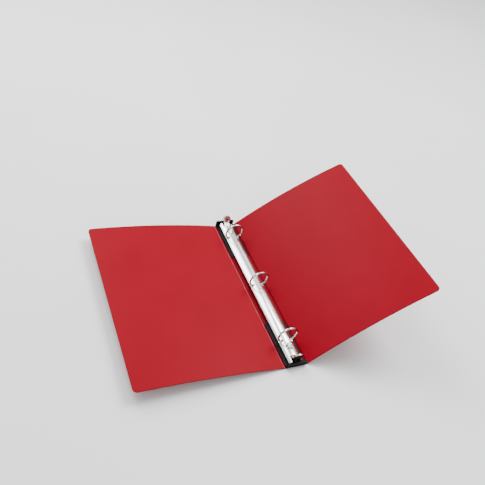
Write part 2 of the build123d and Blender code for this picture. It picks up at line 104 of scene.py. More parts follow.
class ShaderTree:
    """One material's node tree, with short calls for the nodes that the finishes share."""

    def __init__(self, name: str) -> None:
        """Starts an empty material, with its shader and its output.

        Args:
            name: the material's name.
        """
        self.material = bpy.data.materials.new(name)
        self.material.use_nodes = True
        self.nodes = self.material.node_tree.nodes
        self.nodes.clear()
        output = self.nodes.new("ShaderNodeOutputMaterial")
        self.shader = self.nodes.new("ShaderNodeBsdfPrincipled")
        self.link(self.shader.outputs["BSDF"], output.inputs["Surface"])
        self.place = self.nodes.new("ShaderNodeTexCoord").outputs["Object"]

    def link(self, source: NodeSocket, target: NodeSocket) -> None:
        """Joins two sockets."""
        self.material.node_tree.links.new(source, target)

    def stretched(self, scale: Triple) -> NodeSocket:
        """Stretches the piece's own coordinates along each axis.

        Args:
            scale: factor along X, Y and Z.

        Returns:
            The mapped coordinates.
        """
        mapping = self.nodes.new("ShaderNodeMapping")
        mapping.inputs["Scale"].default_value = scale
        self.link(self.place, mapping.inputs["Vector"])
        return mapping.outputs["Vector"]

    def clouds(self, scale: float, detail: float = 3.0, roughness: float = 0.5,
               distortion: float = 0.0, place: NodeSocket | None = None) -> NodeSocket:
        """Adds cloudy noise.

        Args:
            scale: repeats per metre.
            detail: octaves.
            roughness: weight of the finer octaves.
            distortion: how far the pattern is dragged about.
            place: coordinates, if not the piece's own.

        Returns:
            The noise value.
        """
        node = self.nodes.new("ShaderNodeTexNoise")
        node.inputs["Scale"].default_value = scale
        node.inputs["Detail"].default_value = detail
        node.inputs["Roughness"].default_value = roughness
        node.inputs["Distortion"].default_value = distortion
        self.link(place or self.place, node.inputs["Vector"])
        return node.outputs["Fac"]

    def cells(self, scale: float, place: NodeSocket) -> NodeSocket:
        """Adds a cell pattern.

        Args:
            scale: cells per metre.
            place: the coordinates that it follows.

        Returns:
            The distance to the nearest cell edge.
        """
        node = self.nodes.new("ShaderNodeTexVoronoi")
        node.feature = "DISTANCE_TO_EDGE"
        node.inputs["Scale"].default_value = scale
        self.link(place, node.inputs["Vector"])
        return node.outputs["Distance"]

    def spread(self, value: NodeSocket, span: Pair, target: Pair = (0.0, 1.0)) -> NodeSocket:
        """Maps a value from one span to another, clamped.

        Args:
            value: the incoming value.
            span: its low and high ends.
            target: what they become.

        Returns:
            The mapped value.
        """
        node = self.nodes.new("ShaderNodeMapRange")
        for name, number in zip(RANGE_SOCKETS, (*span, *target)):
            node.inputs[name].default_value = number
        self.link(value, node.inputs["Value"])
        return node.outputs["Result"]

    def maths(self, kind: str, first: NodeSocket, second: NodeSocket | float) -> NodeSocket:
        """Combines two values.

        Args:
            kind: the operation's name.
            first: a value.
            second: a value or a number.

        Returns:
            The result.
        """
        node = self.nodes.new("ShaderNodeMath")
        node.operation = kind
        self.link(first, node.inputs[0])
        if isinstance(second, float):
            node.inputs[1].default_value = second
        else:
            self.link(second, node.inputs[1])
        return node.outputs["Value"]

    def tint(self, value: NodeSocket, colours: Tones, stops: Pair = MOST_NOISE) -> NodeSocket:
        """Turns a value into a colour between two.

        Args:
            value: what picks the colour.
            colours: those at the lower and the upper stop.
            stops: where the two colours lie.

        Returns:
            The colour.
        """
        ramp = self.nodes.new("ShaderNodeValToRGB")
        for stop, place, colour in zip(ramp.color_ramp.elements, stops, colours):
            stop.position = place
            stop.color = (*colour, 1.0)
        self.link(value, ramp.inputs["Fac"])
        return ramp.outputs["Color"]

    def mix(self, share: NodeSocket, first: NodeSocket, second: NodeSocket | Triple) -> NodeSocket:
        """Mixes two colours.

        Args:
            share: how much of the second colour there is.
            first: a colour.
            second: a colour, worked out or plain.

        Returns:
            The mixed colour.
        """
        node = self.nodes.new("ShaderNodeMix")
        node.data_type = "RGBA"
        sockets = {s.identifier: s for s in (*node.inputs, *node.outputs)}
        self.link(share, sockets["Factor_Float"])
        self.link(first, sockets["A_Color"])
        if isinstance(second, tuple):
            sockets["B_Color"].default_value = (*second, 1.0)
        else:
            self.link(second, sockets["B_Color"])
        return sockets["Result_Color"]

    def colour(self, source: NodeSocket) -> None:
        """Gives the shader its colour."""
        self.link(source, self.shader.inputs["Base Color"])

    def rough(self, source: NodeSocket) -> None:
        """Gives the shader its roughness."""
        self.link(source, self.shader.inputs["Roughness"])

    def bump(self, height: NodeSocket, strength: float, distance: float) -> None:
        """Adds surface relief on top of any that the shader already has.

        Args:
            height: the relief, from 0 to 1.
            strength: how much of it shows.
            distance: its full depth.
        """
        node = self.nodes.new("ShaderNodeBump")
        node.inputs["Strength"].default_value = strength
        node.inputs["Distance"].default_value = distance
        self.link(height, node.inputs["Height"])
        normal = self.shader.inputs["Normal"]
        if normal.is_linked:
            self.link(normal.links[0].from_socket, node.inputs["Normal"])
        self.link(node.outputs["Normal"], normal)


@dataclass(frozen=True)
class Finish:
    """A finish, whose own paint method fills a fresh node tree."""

    name: str
    gloss: float = 0.5

    def paint(self, tree: ShaderTree) -> None:
        """Lays the finish down on a tree; each finish has its own way."""
        raise NotImplementedError(self.name)

    def make(self) -> Material:
        """Builds the material.

        Returns:
            The finished material.
        """
        tree = ShaderTree(self.name)
        self.paint(tree)
        tree.shader.inputs["Specular IOR Level"].default_value = self.gloss
        return tree.material


@dataclass(frozen=True)
class RedSheet(Finish):
    """Smooth inner face of the red sheet: satin, with a very fine haircell grain."""

    name: str = "red_sheet_satin"
    gloss: float = 0.055
    tones: Tones = ((0.240, 0.0, 0.0086), (0.258, 0.0, 0.0098))
    roughness: Pair = (0.38, 0.48)
    patch: float = 14.0
    haircell: float = 2600.0
    haircell_depth: float = 0.05 * MM
    rolled: float = 90.0
    rolled_depth: float = 0.2 * MM

    def paint(self, tree: ShaderTree) -> None:
        """Lays down broad tones, a haircell grain and the faint waves of the rolling mill.

        Args:
            tree: the material's nodes.
        """
        tree.colour(tree.tint(tree.clouds(self.patch, detail=2.0), self.tones))
        fine = tree.clouds(self.haircell, detail=2.0, roughness=0.6)
        tree.rough(tree.spread(fine, MOST_NOISE, self.roughness))
        tree.bump(fine, 0.10, self.haircell_depth)
        waves = tree.clouds(self.rolled, place=tree.stretched((1.0, 0.12, 1.0)))
        tree.bump(waves, 0.05, self.rolled_depth)


@dataclass(frozen=True)
class GrainedSheet(Finish):
    """Outer face of the red sheet: a crushed leather grain drawn out along the spine."""

    name: str = "red_sheet_grained"
    gloss: float = 0.03
    # Fold and crown reds: painted shade in the grain's folds, lighter crowns.
    tones: Tones = ((0.19, 0.0, 0.006), (0.32, 0.0, 0.014))
    # Pale red of the painted highlight streaks on the crowns.
    crown_highlight: Triple = (0.46, 0.012, 0.032)
    roughness: Pair = (0.72, 0.52)
    cell: float = 430.0
    drag: float = 260.0
    line: float = 190.0
    pore: float = 1500.0
    drawn: Triple = (1.0, 0.26, 1.0)
    fold_width: float = 0.22
    fold_depth: float = 0.16 * MM
    line_depth: float = 0.2 * MM
    pore_depth: float = 0.05 * MM

    def paint(self, tree: ShaderTree) -> None:
        """Lays down folded cells, torn by a drag pattern, darker in the folds as painted shade and with
        painted highlight streaks on their crowns.

        Args:
            tree: the material's nodes.
        """
        place = tree.stretched(self.drawn)
        torn = tree.clouds(self.drag, detail=5.0, roughness=0.65, distortion=1.6, place=place)
        folds = tree.spread(tree.cells(self.cell, place), (0.0, self.fold_width))
        relief = tree.maths("MULTIPLY", folds, tree.spread(torn, (0.34, 0.58), (0.3, 1.0)))
        streaks = tree.clouds(self.line, detail=6.0, roughness=0.7, distortion=1.4, place=place)
        lines = tree.spread(streaks, (0.50, 0.68))
        # Colour follows the relief: painted shade in the folds, painted highlight streaks on the crowns.
        sheet = tree.tint(relief, self.tones, (0.05, 0.8))
        tree.colour(tree.mix(tree.maths("MULTIPLY", lines, relief), sheet, self.crown_highlight))
        tree.rough(tree.spread(relief, (0.0, 1.0), self.roughness))
        tree.bump(relief, 0.7, self.fold_depth)
        tree.bump(lines, 0.35, self.line_depth)
        tree.bump(tree.clouds(self.pore), 0.12, self.pore_depth)


@dataclass(frozen=True)
class CutRim(Finish):
    """Sheared edge of the red sheet: darker, with the fine drag lines of the knife."""

    name: str = "red_sheet_cut_edge"
    gloss: float = 0.08
    tones: Tones = ((0.09, 0.0, 0.003), (0.17, 0.0, 0.006))
    roughness: Pair = (0.4, 0.6)
    drag_line: float = 3000.0
    depth: float = 0.05 * MM

    def paint(self, tree: ShaderTree) -> None:
        """Lays down the drag lines.

        Args:
            tree: the material's nodes.
        """
        lines = tree.clouds(self.drag_line, detail=2.0, place=tree.stretched((1.0, 1.0, 0.15)))
        tree.colour(tree.tint(lines, self.tones))
        tree.rough(tree.spread(lines, MOST_NOISE, self.roughness))
        tree.bump(lines, 0.2, self.depth)


@dataclass(frozen=True)
class CreasedWeb(Finish):
    """Living hinge: the sheet pressed thin, its bead painted pale as a painted highlight."""

    name: str = "red_sheet_crease_highlight"
    gloss: float = 0.16
    # Pale reds: a painted highlight along the hinge bead.
    tones: Tones = ((0.42, 0.020, 0.045), (0.60, 0.055, 0.100))
    roughness: Pair = (0.30, 0.42)
    highlight_patch: float = 420.0
    depth: float = 0.05 * MM

    def paint(self, tree: ShaderTree) -> None:
        """Lays down the painted highlight, mottled and drawn out along the crease.

        Args:
            tree: the material's nodes.
        """
        highlight_noise = tree.clouds(self.highlight_patch, place=tree.stretched((1.0, 0.2, 1.0)))
        tree.colour(tree.tint(highlight_noise, self.tones))
        tree.rough(tree.spread(highlight_noise, MOST_NOISE, self.roughness))
        tree.bump(highlight_noise, 0.2, self.depth)


@dataclass(frozen=True)
class BrightPlate(Finish):
    """Bright nickel plate over pressed steel or drawn wire, lightly handled."""

    name: str = "bright_plate"
    tones: Tones = ((0.80, 0.79, 0.775), (0.91, 0.90, 0.885))
    roughness: Pair = (0.17, 0.23)
    handling: float = 75.0
    die_line: float = 1400.0
    draw: Triple = (1.0, 0.03, 1.0)
    depth: float = 0.05 * MM

    def paint(self, tree: ShaderTree) -> None:
        """Lays down handled plate with the fine lines of the drawing die.

        Args:
            tree: the material's nodes.
        """
        handled = tree.clouds(self.handling, detail=4.0, roughness=0.6)
        lines = tree.clouds(self.die_line, detail=2.0, place=tree.stretched(self.draw))
        tree.colour(tree.tint(handled, self.tones))
        tree.rough(tree.spread(handled, MOST_NOISE, self.roughness))
        tree.bump(lines, 0.08, self.depth)
        tree.shader.inputs["Metallic"].default_value = 1.0


@dataclass(frozen=True)
class RivetFinish(Finish):
    """Plated rivet whose outer head, below the given height, is enamelled dark red."""

    name: str = "rivet_plate"
    enamel: Tones = ((0.10, 0.004, 0.006), (0.17, 0.006, 0.010))
    plate: Tones = ((0.34, 0.33, 0.32), (0.56, 0.55, 0.53))
    roughness: Pair = (0.2, 0.36)
    enamel_edge: Pair = (0.95 * MM, 1.05 * MM)
    cloud: float = 900.0
    depth: float = 0.04 * MM

    def paint(self, tree: ShaderTree) -> None:
        """Lays down the enamel below and the plate above.

        Args:
            tree: the material's nodes.
        """
        split = tree.nodes.new("ShaderNodeSeparateXYZ")
        tree.link(tree.place, split.inputs["Vector"])
        bare = tree.spread(split.outputs["Z"], self.enamel_edge)
        cloudy = tree.clouds(self.cloud)
        tree.colour(tree.mix(bare, tree.tint(cloudy, self.enamel), tree.tint(cloudy, self.plate)))
        tree.link(bare, tree.shader.inputs["Metallic"])
        tree.rough(tree.spread(cloudy, MOST_NOISE, self.roughness))
        tree.bump(cloudy, 0.15, self.depth)


@dataclass(frozen=True)
class BlackMoulding(Finish):
    """Black moulded plastic with a spark-eroded grain, a little greyer where rubbed."""

    name: str = "black_moulding"
    gloss: float = 0.09
    tones: Tones = ((0.0018, 0.0016, 0.0017), (0.0046, 0.0040, 0.0042))
    roughness: Pair = (0.38, 0.58)
    spark: float = 1900.0
    rubbing: float = 110.0
    depth: float = 0.06 * MM

    def paint(self, tree: ShaderTree) -> None:
        """Lays down the grain and the rubbed patches.

        Args:
            tree: the material's nodes.
        """
        grain = tree.clouds(self.spark, roughness=0.65)
        tree.colour(tree.tint(tree.clouds(self.rubbing, detail=4.0), self.tones))
        tree.rough(tree.spread(grain, MOST_NOISE, self.roughness))
        tree.bump(grain, 0.28, self.depth)


@dataclass(frozen=True)
class LabelPaper(Finish):
    """Blank cream label paper with short fibres and a faint toning."""

    name: str = "label_paper"
    tones: Tones = ((0.66, 0.60, 0.46), (0.80, 0.75, 0.62))
    roughness: Pair = (0.72, 0.9)
    fibre: float = 1100.0
    toning: float = 40.0
    depth: float = 0.04 * MM

    def paint(self, tree: ShaderTree) -> None:
        """Lays down the fibres over the toning.

        Args:
            tree: the material's nodes.
        """
        fibre = tree.clouds(self.fibre, detail=5.0, roughness=0.7, place=tree.stretched((1.0, 0.3, 1.0)))
        shares = (tree.maths("MULTIPLY", fibre, 0.6), tree.maths("MULTIPLY", tree.clouds(self.toning), 0.4))
        tree.colour(tree.tint(tree.maths("ADD", *shares), self.tones))
        tree.rough(tree.spread(fibre, MOST_NOISE, self.roughness))
        tree.bump(fibre, 0.3, self.depth)


@dataclass(frozen=True)
class FloorFinish(Finish):
    """Pale matt floor."""

    name: str = "pale_floor"
    tones: Tones = ((0.86, 0.86, 0.865), (0.90, 0.90, 0.90))

    def paint(self, tree: ShaderTree) -> None:
        """Lays down a faint cloudiness."""
        tree.colour(tree.tint(tree.clouds(3.0, detail=2.0), self.tones))
        tree.shader.inputs["Roughness"].default_value = 0.9


class Finishes:
    """The finishes of the binder, each made once and shared by its pieces."""

    def __init__(self) -> None:
        """Makes every material."""
        self.satin = RedSheet().make()
        # Darker copy of the satin red for the spine panel's inside: painted shade beside the housing.
        shaded = ((0.13, 0.0, 0.004), (0.16, 0.0, 0.005))
        self.shaded = RedSheet("red_sheet_spine_painted_shade", tones=shaded).make()
        self.grained = GrainedSheet().make()
        self.rim = CutRim().make()
        # Pale red of the hinge bead: a painted highlight.
        self.crease = CreasedWeb().make()
        self.plate = BrightPlate().make()
        self.wire = BrightPlate("bright_wire", tones=((0.58, 0.57, 0.55), (0.72, 0.71, 0.69)),
                                roughness=(0.06, 0.15), draw=(1.0, 1.0, 1.0)).make()
        self.rivet = RivetFinish().make()
        self.black = BlackMoulding().make()
        self.paper = LabelPaper().make()
        self.floor = FloorFinish().make()

    def sheet(self) -> list[Material]:
        """Materials of a sheet, in the order of Face."""
        return [self.satin, self.rim, self.grained]


# ------------------------------------------------------------------ shaping


SAME_PLACE = 0.002 * MM  # points nearer than this are one
FLAT = math.radians(0.4)  # faces that meet at less than this are one


def to_piece(shape: BMesh, name: str, materials: list[Material],
             crease: float = 35.0) -> Object:
    """Turns a finished shape into a piece at the origin.

    Args:
        shape: the shape, which is freed.
        name: the piece's name.
        materials: its material slots.
        crease: edges sharper than this many degrees stay sharp.

    Returns:
        The new object.
    """
    mesh = bpy.data.meshes.new(name)
    shape.to_mesh(mesh)
    shape.free()
    for material in materials:
        mesh.materials.append(material)
    mesh.shade_smooth()
    mesh.set_sharp_from_angle(angle=math.radians(crease))
    piece = bpy.data.objects.new(name, mesh)
    bpy.context.scene.collection.objects.link(piece)
    return piece


def place_piece(piece: Object, body: str, slot: str, *nodes: str) -> Object:
    """Sets a piece on its body in place of the construction nodes that it stands for.

    Args:
        piece: the new piece.
        body: the body that it rides on.
        slot: the record's material slot; not used.
        nodes: the nodes that it replaces.

    Returns:
        The piece.
    """
    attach(piece, body)
    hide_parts(*nodes)
    LOG.info("%s rides on %s: %d faces", piece.name, body, len(piece.data.polygons))
    return piece


def merged_copy(node: str) -> BMesh:
    """Copies a construction node as one joined shape, its flat faces made whole.

    Args:
        node: the node's name.

    Returns:
        The new shape.
    """
    shape = bmesh.new()
    shape.from_mesh(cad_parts[node].data)
    bmesh.ops.remove_doubles(shape, verts=shape.verts, dist=SAME_PLACE)
    bmesh.ops.dissolve_limit(shape, angle_limit=FLAT, verts=shape.verts, edges=shape.edges)
    return shape


def ease_edges(shape: BMesh, width: float, least: float = 32.0, segments: int = 2) -> None:
    """Rounds every edge of a shape that is sharper than the least angle.

    Args:
        shape: the shape to change.
        width: how far the rounding reaches from each edge.
        least: the smallest angle that is rounded, in degrees.
        segments: faces across the rounding.
    """
    sharp = [e for e in shape.edges if e.is_manifold and e.calc_face_angle() > math.radians(least)]
    bmesh.ops.bevel(shape, geom=sharp, offset=width, offset_type="OFFSET", segments=segments,
                    profile=0.5, affect="EDGES", clamp_overlap=True, material=-1)


def weigh_normals(piece: Object, group: str = "") -> None:
    """Makes the large faces of a pressing govern its shading.

    Args:
        piece: the pressing.
        group: the vertex group that this is kept to, if any.
    """
    weigher = piece.modifiers.new("weighted", "WEIGHTED_NORMAL")
    weigher.keep_sharp = True
    weigher.vertex_group = group


def grown_loop(shape: BMesh, edges: list, grow: float, rise: Vector) -> list:
    """Extrudes a loop, grows it about its middle and moves it.

    Args:
        shape: the shape that holds the loop.
        edges: the loop.
        grow: factor on its radius.
        rise: how far it moves.

    Returns:
        The new loop.
    """
    new = bmesh.ops.extrude_edge_only(shape, edges=edges)["geom"]
    verts = [g for g in new if isinstance(g, BMVert)]
    middle = sum((v.co for v in verts), Vector()) / len(verts)
    bmesh.ops.scale(shape, vec=(grow,) * 3, space=Matrix.Translation(-middle), verts=verts)
    bmesh.ops.translate(shape, vec=rise, verts=verts)
    return [g for g in new if isinstance(g, BMEdge)]


def spun_loop(shape: BMesh, edges: list, centre: Vector, angle: float, steps: int) -> list:
    """Spins a loop about an axis along the spine.

    Args:
        shape: the shape that holds the loop.
        edges: the loop.
        centre: a point of the axis.
        angle: how far it turns, in radians.
        steps: faces along the turn.

    Returns:
        The last loop.
    """
    geometry = edges + list({v for e in edges for v in e.verts})
    last = bmesh.ops.spin(shape, geom=geometry, cent=centre, axis=(0.0, 1.0, 0.0), dvec=(0.0, 0.0, 0.0),
                          angle=angle, steps=steps, use_merge=False, use_duplicate=False)["geom_last"]
    return [g for g in last if isinstance(g, BMEdge)]


def dressed_copy(node: str, name: str, body: str, slot: str, finish: Material, ease: float,
                 least: float = 32.0) -> Object:
    """Sets an eased copy of a construction node on its body.

    Args:
        node: the node's name.
        name: the new piece's name.
        body: the body that it rides on.
        slot: the record's material slot.
        finish: its material.
        ease: how far its edges are rounded, or 0 for sharp ones.
        least: the smallest angle that is rounded, in degrees.

    Returns:
        The piece.
    """
    shape = merged_copy(node)
    if ease:
        ease_edges(shape, ease, least)
    piece = to_piece(shape, name, [finish])
    weigh_normals(piece)
    return place_piece(piece, body, slot, node)


def sort_faces(shape: BMesh, level: float) -> None:
    """Gives each face of a sheet its material slot by the way it looks.

    Args:
        shape: the sheet, with its inside up.
        level: the least share of a face's normal that points up on the inside, or down on
            the outside.
    """
    for face in shape.faces:
        lie = face.normal.z
        kind = Face.INSIDE if lie > level else Face.OUTSIDE if lie < -level else Face.RIM
        face.material_index = kind.value


def smooth_step(share: float) -> float:
    """Eases a share of 0 to 1 in and out."""
    share = min(1.0, max(0.0, share))
    return share * share * (3.0 - 2.0 * share)


# ------------------------------------------------------------------ covers and spine


REST_SLOPES = {Side.FRONT: (9.7, -0.2), Side.BACK: (41.4, 28.1)}  # degrees, at the hinge and the free edge


@dataclass
class CoverSheet:
    """One sprung cover sheet: smooth inside, grained outside, rounded at its free corners."""

    side: Side
    start_slope: float
    end_slope: float
    width: float = 214.0 * MM
    length: float = SHEET_LENGTH
    sheet: float = 1.4 * MM
    inner_end: float = 1.3 * MM
    hinge_x: float = HINGE_X
    hinge_z: float = HINGE_Z
    corner: float = 6.0 * MM
    rim_ease: float = 0.4 * MM
    spacing: float = 1.4 * MM
    level: float = 0.9
    grain_depth: float = 0.06 * MM
    grain_scale: float = 230.0
    grain_drawn: float = 0.6
    grain_drift: float = 0.9
    fold_width: float = 0.35

    @property
    def name(self) -> str:
        """Name of the cover's construction node."""
        return f"{self.side.name.lower()}_cover"

    def blank(self) -> BMesh:
        """Makes the flat blank, with its middle line at height 0 and its outside down.

        Returns:
            The blank, its run along X measured from the hinge axis.
        """
        shape = bmesh.new()
        run = self.width - self.inner_end
        across, along = round(run / self.spacing), round(self.length / self.spacing)
        bmesh.ops.create_grid(shape, x_segments=across, y_segments=along, size=0.5)
        bmesh.ops.scale(shape, vec=(run, self.length, 1.0), verts=shape.verts)
        bmesh.ops.translate(shape, vec=(self.inner_end + run / 2, 0.0, 0.0), verts=shape.verts)
        for vert in shape.verts:
            self.round_corner(vert.co)
        bmesh.ops.recalc_face_normals(shape, faces=shape.faces)
        bmesh.ops.solidify(shape, geom=shape.faces, thickness=self.sheet)
        low = min(v.co.z for v in shape.verts)
        bmesh.ops.translate(shape, vec=(0.0, 0.0, -low - self.hinge_z), verts=shape.verts)
        ease_edges(shape, self.rim_ease, least=60.0, segments=3)
        bmesh.ops.recalc_face_normals(shape, faces=shape.faces)
        return shape

    def round_corner(self, place: Vector) -> None:
        """Draws the square corners of the free edge in to an arc.

        Args:
            place: a point of the blank, changed in place.
        """
        centre_x = self.width - self.corner
        centre_y = self.length / 2 - self.corner
        out, up = place.x - centre_x, abs(place.y) - centre_y
        if out <= 0 or up <= 0:
            return
        share = max(out, up) / math.hypot(out, up)
        place.x = centre_x + out * share
        place.y = math.copysign(centre_y + up * share, place.y)

    def grain(self, place: Vector) -> float:
        """Finds the depth of the crushed grain at a point of the blank.

        Args:
            place: the point.

        Returns:
            How far the outer face is pressed in there.
        """
        spot = Vector((place.x, place.y * self.grain_drawn, 0.0)) * self.grain_scale
        drift = noise.noise_vector(spot * 0.5) * self.grain_drift
        near, second = noise.voronoi(spot + drift)[0][:2]
        fold = 1.0 - min(1.0, (second - near) / self.fold_width)
        patches = 0.6 + 0.4 * noise.noise(spot * 0.3)
        return self.grain_depth * fold * patches

    def bend(self, place: Vector) -> Vector:
        """Carries a point of the blank to its place on the sprung cover.

        Args:
            place: the point, X along the sheet from the hinge axis and Z off its axis line.

        Returns:
            The point in the binder's frame.
        """
        start, stop = math.radians(self.start_slope), math.radians(self.end_slope)
        radius = self.width / (start - stop)
        slope = start - place.x / radius
        out = radius * math.sin(start) - (radius + place.z) * math.sin(slope)
        up = self.hinge_z - radius * math.cos(start) + (radius + place.z) * math.cos(slope)
        return Vector((self.side.value * (self.hinge_x + out), place.y, up))

    def build(self) -> BMesh:
        """Makes the sprung sheet with its grain and its three kinds of face.

        Returns:
            The finished shape.
        """
        shape = self.blank()
        sort_faces(shape, self.level)
        for vert in shape.verts:
            if all(f.material_index == Face.OUTSIDE.value for f in vert.link_faces):
                vert.co.z += self.grain(vert.co)
        for vert in shape.verts:
            vert.co = self.bend(vert.co)
        if self.side is Side.FRONT:
            bmesh.ops.reverse_faces(shape, faces=shape.faces)
        return shape

    def dress(self, finishes: Finishes) -> Object:
        """Builds the cover, finishes it and sets it on its body."""
        piece = to_piece(self.build(), f"{self.name}_sheet", finishes.sheet(), crease=60.0)
        return place_piece(piece, self.name, "red_sheet", self.name)


@dataclass
class HingeWeb:
    """Living hinge: a thin pressed web with a low bead, bent to its cover's rest slope.

    Only the front web's bead is painted pale along its top, as a painted highlight.
    """

    side: Side
    slope: float
    # Whether the top of the bead takes the pale painted highlight.
    painted_bead_highlight: bool
    half_width: float = 1.3 * MM
    length: float = SHEET_LENGTH
    thickness: float = 0.5 * MM
    bead: float = 0.42 * MM
    bead_half: float = 0.62 * MM
    bend_share: float = 0.9
    hinge_x: float = HINGE_X
    hinge_z: float = HINGE_Z
    across: int = 26
    along: int = 48

    @property
    def name(self) -> str:
        """Name of the web's construction node."""
        return f"{self.side.name.lower()}_hinge_web"

    def turned(self, out: float, up: float) -> tuple[float, float]:
        """Carries a point of the flat web to where it lies at rest.

        Args:
            out: distance from the hinge axis, away from the spine.
            up: height over the axis.

        Returns:
            X and Z in the binder's frame.
        """
        angle = math.radians(self.slope) * smooth_step((out + self.half_width) / (2 * self.half_width))
        x = out * math.cos(angle) - up * math.sin(angle)
        z = out * math.sin(angle) + up * math.cos(angle)
        return self.side.value * (self.hinge_x + x), self.hinge_z + z

    def build(self) -> BMesh:
        """Makes the web.

        Returns:
            The finished shape.
        """
        shape = bmesh.new()
        bmesh.ops.create_grid(shape, x_segments=self.across, y_segments=self.along, size=0.5)
        bmesh.ops.scale(shape, vec=(2 * self.half_width, self.length, 1.0), verts=shape.verts)
        bmesh.ops.solidify(shape, geom=shape.faces, thickness=self.thickness)
        middle = sum(v.co.z for v in shape.verts) / len(shape.verts)
        for face in shape.faces:
            spot = face.calc_center_median()
            # Faces on top of the bead take the pale painted highlight where this web has one.
            bead_crown = spot.z > middle and abs(spot.x) < self.bead_half
            face.material_index = int(bead_crown and self.painted_bead_highlight)
        for vert in shape.verts:
            up = vert.co.z - middle
            if up > 0 and abs(vert.co.x) < self.bead_half:
                up += self.bead * math.cos(math.pi / 2 * vert.co.x / self.bead_half) ** 2
            x, z = self.turned(vert.co.x, up)
            vert.co = Vector((x, vert.co.y, z))
        bmesh.ops.recalc_face_normals(shape, faces=shape.faces)
        return shape

    def dress(self, finishes: Finishes) -> Object:
        """Builds the web, finishes it and bends it between the spine and its cover.

        Args:
            finishes: the binder's finishes.

        Returns:
            The piece.
        """
        piece = to_piece(self.build(), f"{self.name}_bead", [finishes.rim, finishes.crease], crease=60.0)
        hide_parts(self.name)
        f"{self.side.name.lower()}_cover"
        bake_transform(piece)
        LOG.info("%s bends between the spine and the %s cover", piece.name, self.side.name.lower())
        return piece


@dataclass
class Spine:
    """Spine panel and the blank label let into its outside."""

    ease: float = 0.2 * MM
    level: float = 0.6
    label_ease: float = 0.05 * MM

    def panel(self) -> BMesh:
        """Makes the panel, its faces sorted into inside, rim and outside.

        Returns:
            The finished shape.
        """
        shape = merged_copy("spine_panel")
        ease_edges(shape, self.ease)
        bmesh.ops.recalc_face_normals(shape, faces=shape.faces)
        sort_faces(shape, self.level)
        return shape

    def dress(self, finishes: Finishes) -> None:
        """Builds both pieces and sets them on the spine.

        Args:
            finishes: the binder's finishes.
        """
        # The panel's inside takes the darker copy of the satin red, as painted shade.
        panel = to_piece(self.panel(), "spine_sheet", [finishes.shaded, finishes.rim, finishes.grained])
        weigh_normals(place_piece(panel, "spine", "red_sheet", "spine_panel"))
        label = merged_copy("spine_label")
        ease_edges(label, self.label_ease)
        place_piece(to_piece(label, "title_label", [finishes.paper]), "spine", "label_paper", "spine_label")


# ------------------------------------------------------------------ ring mechanism


@dataclass
class RingHousing:
    """Arched bright pressing that holds the rails."""

    ease: float = 0.16 * MM
    well_y: float = 120.0 * MM
    well_reach: float = 5.7 * MM

    def clear_of_wells(self, place: Vector) -> bool:
        """Tells whether a point lies outside both drawn wells."""
        return math.hypot(place.x, abs(place.y) - self.well_y) > self.well_reach

    def dress(self, finishes: Finishes) -> Object:
        """Builds the housing, with its edges rolled over, and sets it on the spine.

        Args:
            finishes: the binder's finishes.

        Returns:
            The piece.
        """
        shape = merged_copy("ring_housing")
        ease_edges(shape, self.ease, least=28.0)
        piece = to_piece(shape, "arched_housing", [finishes.plate], crease=40.0)
        crown = piece.vertex_groups.new(name="outside_the_wells")
        crown.add([v.index for v in piece.data.vertices if self.clear_of_wells(v.co)], 1.0, "REPLACE")
        weigh_normals(piece, crown.name)
        return place_piece(piece, "spine", "bright_plate", "ring_housing")


